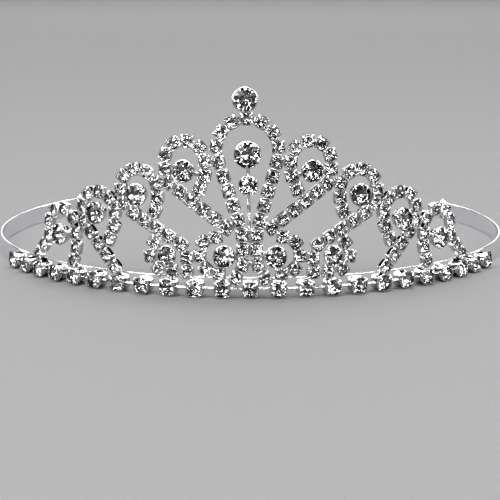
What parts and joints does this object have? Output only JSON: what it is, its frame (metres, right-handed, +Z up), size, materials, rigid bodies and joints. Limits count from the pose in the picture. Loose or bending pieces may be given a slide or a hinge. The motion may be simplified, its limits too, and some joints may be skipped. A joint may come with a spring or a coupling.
{
  "type": "bridal tiara",
  "caption": "Open hoop headband with a crest of rhinestone cup-chain loops, scrolls, claw-set round crystals and a crystal finial, for wearing on the head.",
  "frame": {"origin": "on the axis of the hoop, in the plane of the band's lower edge", "axes": "+Z up along the hoop's axis, -Y towards the front with the crest, +X towards the right as seen from the front"},
  "size_m": [0.1384, 0.1201, 0.0514],
  "materials": {
    "polished_band": "mirror-polished rhodium plate on spring steel, with fine hairline scratches",
    "plated_metal": "bright silver-coloured plate on pressed brass",
    "solder": "plated solder, slightly uneven and less bright",
    "crystal": "clear cut glass with a mirror foil behind its pavilion"
  },
  "bodies": {
    "root": {"headband": "polished_band", "headband_tips": "plated_metal", "base_row_settings": "plated_metal", "base_row_gems": "crystal", "base_links": "plated_metal", "central_loop_cups": "plated_metal", "central_loop_gems": "crystal", "finial_setting": "plated_metal", "finial_gem": "crystal", "stem_wire": "plated_metal", "stem_settings": "plated_metal", "stem_gems": "crystal", "scroll_1_left_cups": "plated_metal", "scroll_1_left_gems": "crystal", "scroll_1_left_setting": "plated_metal", "scroll_1_left_center_gem": "crystal", "scroll_1_right_cups": "plated_metal", "scroll_1_right_gems": "crystal", "scroll_1_right_setting": "plated_metal", "scroll_1_right_center_gem": "crystal", "scroll_2_left_cups": "plated_metal", "scroll_2_left_gems": "crystal", "scroll_2_left_setting": "plated_metal", "scroll_2_left_center_gem": "crystal", "scroll_2_right_cups": "plated_metal", "scroll_2_right_gems": "crystal", "scroll_2_right_setting": "plated_metal", "scroll_2_right_center_gem": "crystal", "scroll_3_left_cups": "plated_metal", "scroll_3_left_gems": "crystal", "scroll_3_left_setting": "plated_metal", "scroll_3_left_center_gem": "crystal", "scroll_3_right_cups": "plated_metal", "scroll_3_right_gems": "crystal", "scroll_3_right_setting": "plated_metal", "scroll_3_right_center_gem": "crystal", "scroll_4_left_cups": "plated_metal", "scroll_4_left_gems": "crystal", "scroll_4_left_setting": "plated_metal", "scroll_4_left_center_gem": "crystal", "scroll_4_right_cups": "plated_metal", "scroll_4_right_gems": "crystal", "scroll_4_right_setting": "plated_metal", "scroll_4_right_center_gem": "crystal", "side_hook_left_cups": "plated_metal", "side_hook_left_gems": "crystal", "side_hook_right_cups": "plated_metal", "side_hook_right_gems": "crystal", "side_hook_settings": "plated_metal", "side_hook_center_gems": "crystal", "lower_scroll_left_cups": "plated_metal", "lower_scroll_left_gems": "crystal", "lower_scroll_right_cups": "plated_metal", "lower_scroll_right_gems": "crystal", "lower_scroll_settings": "plated_metal", "lower_scroll_center_gems": "crystal", "chain_links": "plated_metal", "solder_pads": "solder"}
  },
  "joints": []
}
